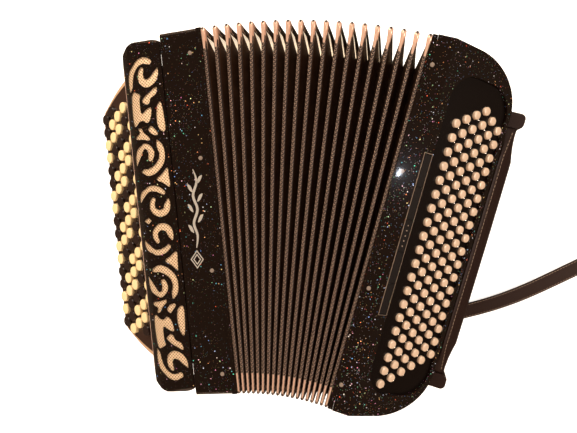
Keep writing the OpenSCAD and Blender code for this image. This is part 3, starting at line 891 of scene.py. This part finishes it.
dots = Build()
for c in range(5):
    for k in range(max(0, c - 2), BB_ROWS):
        m = BUTTONS @ T(((c + 0.5) * BB_STEP,
                         BB_TOP + (c + 0.5) * BB_PITCH / 2 - (k + 0.5) * BB_PITCH, -3.2 * MM))
        dots.lathe(m, [(0.8 * MM, 0), (0.7 * MM, 0.3 * MM), (0.2 * MM, 0.5 * MM)], 10)
o = dots.make("panel_dots", [PEARL])
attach(o, "bass")

# ---------------------------------------------------------------- strap wheel
RIBS = 20
b = Build()
axis = Vector(joints["strap_wheel_turn"]["axis"])
centre = BASS @ Vector((70 * MM, 424 * MM, 60 * MM))
m = plane(centre, (0, 0, 1), axis)
ring = [(10.2, 1.0), (11, 1.6), (11, 7.2), (10.2, 8.0), (4, 8.0), (3.4, 7.4)]
b.lathe(m, [(4.4 * MM, -9.8 * MM), (4.4 * MM, 1.0 * MM)] + [(r * MM, h * MM) for r, h in ring], 40)
for k in range(RIBS):
    t = m @ Matrix.Rotation(k * math.pi / 10, 4, "Z")
    b.box(t, (10.4 * MM, -0.7 * MM, 1.8 * MM), (11.35 * MM, 0.7 * MM, 7 * MM))
o = b.make("knurled_wheel", [CHROME])
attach(o, "strap_wheel_body")
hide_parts("strap_wheel")

# ---------------------------------------------------------------- hand strap
# its section in mm out from the bass case and up: along the band, and at its ends
BAND = [(130, 50), (132, 49.7), (134, 51), (134.5, 68), (134.6, 86), (133.4, 95), (131, 104),
        (128, 112), (124, 119), (119.8, 125), (115, 130), (113.4, 130.6), (112.8, 129), (112.8, 126.2),
        (116.4, 121.8), (120, 117), (123.8, 110), (127, 102), (128.8, 94), (130, 86), (130, 68)]
END = [(114, 64.3), (120, 64), (126, 64.4), (127.3, 70), (127.3, 80), (127.3, 88), (127.3, 95),
       (127.3, 102), (127, 108), (124.5, 111.4), (121, 112), (118, 112), (115, 111.8),
       (113.8, 108), (113.7, 102), (113.7, 97), (113.7, 92), (113.7, 86), (113.7, 80), (113.7, 75), (113.7, 69)]
STRAP_LO, STRAP_HI = 52.4, 361.6
TAPER = 38.0
STITCH_L, STITCH_STEP = 3.2, 4.6


def band_at(v):
    """The strap's section at height v of the bass case."""
    t = min(v - STRAP_LO, STRAP_HI - v) / TAPER
    t = max(0.0, min(1.0, t))
    pad = 0.6 * math.sin(math.pi * (v - STRAP_LO) / (STRAP_HI - STRAP_LO))
    out = []
    for k, ((u0, z0), (u1, z1)) in enumerate(zip(END, BAND)):
        u, z = u0 + (u1 - u0) * t, z0 + (z1 - z0) * t
        if 3 <= k <= 10:
            u += pad
        out.append(BASS @ Vector((u * MM, v * MM, z * MM)))
    return out


def hand_strap():
    """The padded band with its two rows of stitches."""
    b = Build()
    stops = [STRAP_LO + TAPER * k / 8 for k in range(8)]
    v = stops + [STRAP_LO + TAPER + (STRAP_HI - STRAP_LO - 2 * TAPER) * k / 24
                 for k in range(25)]
    v += [STRAP_HI - TAPER * (7 - k) / 8 for k in range(8)]
    rows = [band_at(x) for x in v]
    b.grid(rows, 0, closed=True)
    b.fan(rows[0], 0, flip=True)
    b.fan(rows[-1], 0)
    o = b.make("padded_hand_strap", [STRAP], 50)
    face_out(o.data)
    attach(o, "bass")
    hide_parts("hand_strap")
    seams = Build()
    for low, high, share in ((9, 10, 0.5), (3, 4, 0.15)):
        x = STRAP_LO + 6.0
        while x < STRAP_HI - 6.0:
            ends = []
            for y in (x, x + STITCH_L):
                sec = band_at(y)
                p = sec[low].lerp(sec[high], share)
                along = (sec[high] - sec[low]).normalized()
                up = BASS.to_3x3() @ Vector((0, 1, 0))
                out = along.cross(up).normalized()
                if out.dot(BASS.to_3x3() @ Vector((1, 0, 0.4))) < 0:
                    out = -out
                ends.append((p, along, out))
            rows = []
            for p, along, out in ends:
                rows.append([p + along * a * MM + out * h * MM
                             for a, h in ((-0.4, -0.2), (-0.3, 0.35), (0.3, 0.35), (0.4, -0.2))])
            seams.grid(rows, 0, closed=True)
            seams.fan(rows[0], 0, flip=True)
            seams.fan(rows[1], 0)
            x += STITCH_STEP
    o = seams.make("hand_strap_stitches", [STITCH], 60)
    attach(o, "bass")


hand_strap()

# ---------------------------------------------------------------- shoulder strap
# in mm: the strap's width and its pin's place on the bass case
TAIL_W = 20.0
PIN_U, PIN_V = 126, 103


def tail_route():
    """The strap's middle line from the pin, in an easy bend."""
    here = Vector((0.0, 0.0))
    start, more = 30, 14
    out = [(here.copy(), math.radians(start))]
    step = 4.0
    for k in range(1, 60):
        bend = min(1.0, k * step / 160.0)
        turn = math.radians(start + more * bend * bend * (3 - 2 * bend))
        here = here + Vector((math.cos(turn), math.sin(turn))) * step
        out.append((here.copy(), turn))
    return out


def tail_at(p, side, across, z):
    """A point of the tail: p along its route, across it, and z up, in mm."""
    return BASS @ Vector(((PIN_U + p.x + side.x * across) * MM, (PIN_V + p.y + side.y * across) * MM,
                          z * MM))


def shoulder_strap():
    """The strap tail with a round nose at its pin, and its stitches."""
    b = Build()
    rows = []
    half = TAIL_W / 2
    ring = [(-half + 0.6, 0.5), (half - 0.6, 0.5), (half, 1.0), (half, 2.6), (half - 0.7, 3.3),
            (half - 2.4, 3.4), (0, 3.45), (-half + 2.4, 3.4), (-half + 0.7, 3.3), (-half, 2.6),
            (-half, 1.0)]
    route = tail_route()
    first, angle = route[0]
    nose = []
    for back, wide in ((-11.4, 0.25), (-10.2, 0.55), (-7.6, 0.86), (-4.2, 1.06), (0, 1.12),
                       (5, 1.06)):
        nose.append((first + Vector((math.cos(angle), math.sin(angle))) * back, angle, wide))
    path = nose + [(p, a, 1.0) for p, a in route[3:]]
    for p, a, wide in path:
        side = Vector((-math.sin(a), math.cos(a)))
        rows.append([tail_at(p, side, w * wide, z) for w, z in ring])
    b.grid(rows, 0, closed=True)
    b.fan(rows[0], 0, flip=True)
    b.fan(rows[-1], 0)
    o = b.make("strap_tail", [STRAP_TAIL], 50)
    face_out(o.data)
    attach(o, "shoulder_strap_body")
    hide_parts("shoulder_strap")
    seams = Build()
    for p, a in route[4:]:
        for w in (-half + 2.0, half - 2.0):
            side = Vector((-math.sin(a), math.cos(a)))
            c = tail_at(p, side, w, 3.4)
            m = T(c) @ Matrix.Rotation(a - FAN, 4, "Z")
            seams.box(m, (-1.3 * MM, -0.3 * MM, -0.3 * MM), (1.3 * MM, 0.3 * MM, 0.25 * MM))
    o = seams.make("strap_tail_stitches", [STITCH], 60)
    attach(o, "shoulder_strap_body")


shoulder_strap()

# ---------------------------------------------------------------- trim
def rim_of_board():
    """Pale edging along the outer edge of the fingerboard, widest at its two ends."""
    line = [(60, 190.5), (37, 182), (20, 173.5), (6, 165), (-5, 158), (-9.5, 150)]
    b = Build()
    for side in (1, -1):
        pts = flow([(99, 196)] + line, 4) + [(-9.5, 120)]
        rows = []
        n = len(pts) - 1
        for k, (x, y) in enumerate(pts):
            x0, y0 = pts[max(0, k - 1)]
            x1, y1 = pts[min(n, k + 1)]
            l = math.hypot(x1 - x0, y1 - y0)
            nx, ny = -(y1 - y0) / l, (x1 - x0) / l
            if nx * (x - 60) + ny * y < 0:
                nx, ny = -nx, -ny
            wide = 3.6 * min(1.0, 0.12 + (n - k) / n)
            inner = -0.6 - 2.4 * (n - k) / n
            rows.append([KEYS @ Vector(((x + nx * a) * MM, side * (y + ny * a) * MM, h * MM))
                         for a, h in ((inner, -4.2), (wide * 0.5, -4.3), (wide, -5.2), (wide, -16),
                                      (inner, -16))])
        b.grid(rows, 0, closed=True, flip=side < 0)
        b.fan(rows[0], 0)
        b.fan(rows[-1], 0)
    o = b.make("board_rim", [RIM], 45)
    face_out(o.data)
    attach(o, "treble")


rim_of_board()


def line_boxes(name, frame_of, boxes, mat, body):
    """Thin lines of trim, as boxes given in mm in a frame."""
    b = Build()
    for lo, hi in boxes:
        b.box(frame_of, tuple(c * MM for c in lo), tuple(c * MM for c in hi))
    o = b.make(name, [mat], 30)
    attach(o, body)


REGISTER_LINES = [((-33.7, 119.6, -0.6), (-33.0, 302.4, 0.5)),
                  ((-22.4, 119.6, -3.0), (-21.8, 302.4, 0.5)),
                  ((-33.7, 302.0, -0.6), (-21.8, 302.5, 0.5)),
                  ((-33.7, 119.5, -0.6), (-21.8, 120.0, 0.5))]
line_boxes("register_edges", BUTTONS, REGISTER_LINES, EDGE, "bass")

dots = Build()
for k in range(5):
    dots.lathe(BUTTONS @ T((-27.8 * MM, (199 + 5.8 * k) * MM, 0.55 * MM)),
               [(0.8 * MM, 0), (0.7 * MM, 0.2 * MM), (0.2 * MM, 0.35 * MM)], 12)
o = dots.make("register_dots", [EDGE])
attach(o, "register_3_body")


# ---------------------------------------------------------------- plain ornament on the treble case
DIAMOND_Y = -52


def ornament():
    """A stem with leaves and a diamond, inlaid along the treble case."""
    rings = [brush([(-1.5, 52, 0.4), (2.4, 38, 1.3), (-2.4, 22, 1.5), (2.4, 6, 1.5), (-2.4, -10, 1.5),
                    (1.6, -24, 1.3), (0, -38, 0.6)])]
    me = flat("stem_flat", rings, 0.5)
    place = T((RIDGE0 - 30 * MM, 0, DEPTH + 0.1 * MM)) @ Matrix.Rotation(math.radians(-4), 4, "Z")
    me.transform(place)
    shown("ornament_stem", me, INLAY)
    rings = []
    for y, s in ((40, 1), (30, -1), (19, 1), (7, -1), (-5, 1), (-17, -1)):
        leaf = [(s * 2.6, y - 4), (s * 6.6, y - 1.5), (s * 9.2, y + 5), (s * 5.0, y + 3.0)]
        rings.append(flow(leaf, 5, closed=True))
    for r, q in ((8.0, 6.6), (4.8, 3.4)):
        for w in (r, q):
            rings.append([(w, DIAMOND_Y), (0, DIAMOND_Y + w * 1.35),
                          (-w, DIAMOND_Y), (0, DIAMOND_Y - w * 1.35)])
    me = flat("leaves_flat", rings, 0.5)
    me.transform(place)
    shown("ornament_leaves", me, INLAY)


ornament()

# ---------------------------------------------------------------- floor, light, camera
bpy.ops.mesh.primitive_plane_add(size=14, location=(0, 0, -0.2 * MM))
floor = bpy.context.object
floor.name = "floor"
fm = material("floor_white", (0.90, 0.89, 0.88), 0.8)
fb = shader(fm)
fb.inputs["Emission Color"].default_value = (1.0, 0.99, 0.98, 1)
fb.inputs["Emission Strength"].default_value = 0.62
floor.data.materials.append(fm)
floor.visible_glossy = False
floor.visible_diffuse = False
bpy.context.scene.view_settings.view_transform = "Standard"

# a warm room lights the accordion, and the camera sees a pale background
world = bpy.data.worlds.new("room")
world.use_nodes = True
world.node_tree.nodes["Background"].inputs[0].default_value = (1.0, 0.66, 0.42, 1)
world.node_tree.nodes["Background"].inputs[1].default_value = 0.10
seen = world.node_tree.nodes.new("ShaderNodeBackground")
seen.inputs[0].default_value = (0.93, 0.92, 0.91, 1)
seen.inputs[1].default_value = 0.9
rays = world.node_tree.nodes.new("ShaderNodeLightPath")
both = world.node_tree.nodes.new("ShaderNodeMixShader")
world.node_tree.links.new(rays.outputs["Is Camera Ray"], both.inputs[0])
world.node_tree.links.new(world.node_tree.nodes["Background"].outputs[0], both.inputs[1])
world.node_tree.links.new(seen.outputs[0], both.inputs[2])
world.node_tree.links.new(both.outputs[0], world.node_tree.nodes["World Output"].inputs[0])
bpy.context.scene.world = world


def area(name, place, aim, size, power, color, mirrored=True):
    """A rectangular light aimed at a point; mirrored says whether glossy surfaces show it."""
    l = bpy.data.lights.new(name, "AREA")
    l.shape = "RECTANGLE"
    l.size, l.size_y = size
    l.energy = power
    l.color = color
    o = bpy.data.objects.new(name, l)
    o.location = place
    o.rotation_euler = (Vector(aim) - Vector(place)).to_track_quat("-Z", "Y").to_euler()
    o.visible_glossy = mirrored
    bpy.context.scene.collection.objects.link(o)


area("left_light", (-1.9, 0.5, 1.5), (0.1, 0, 0.1), (1.2, 0.9), 60, (1.0, 0.88, 0.74), False)
area("top_light", (0.2, 2.0, 1.5), (0.1, 0, 0.1), (1.6, 0.8), 55, (1.0, 0.88, 0.74))
area("right_light", (1.9, -0.2, 1.5), (0.1, 0, 0.1), (1.2, 0.8), 35, (1.0, 0.88, 0.76))
area("low_light", (0.0, -1.6, 0.8), (0.1, 0, 0.1), (1.6, 0.5), 16, (1.0, 0.82, 0.68), False)
area("top_card", (0.2, 2.9, 0.9), (0.1, 0, 0.1), (4.0, 2.2), 16, (1.0, 0.56, 0.30))
area("low_card", (0.1, -2.7, 0.9), (0.1, 0, 0.1), (4.0, 2.2), 18, (1.0, 0.66, 0.44))
area("window", (0.258, 0.065, 1.45), (0.235, 0.03, 0.2), (0.006, 0.024), 0.07, (0.80, 0.88, 1.0))

# fitted to the photo: focal length in mm on a 36 mm sensor, place past the first ridge and above
# the front, and turn in radians
FOCAL = 33.5
CAM_PLACE = (RIDGE0 + 0.1922, 0.0052, DEPTH + 0.5892)
CAM_TURN = (-0.047, 0.187, -0.098)
cam = bpy.data.cameras.new("camera")
cam.sensor_width = 36
cam.lens = FOCAL
cam.clip_start = 0.01
cam.clip_end = 50
co = bpy.data.objects.new("camera", cam)
co.location = CAM_PLACE
co.rotation_euler = CAM_TURN
bpy.context.scene.collection.objects.link(co)
bpy.context.scene.camera = co

bpy.context.view_layer.update()
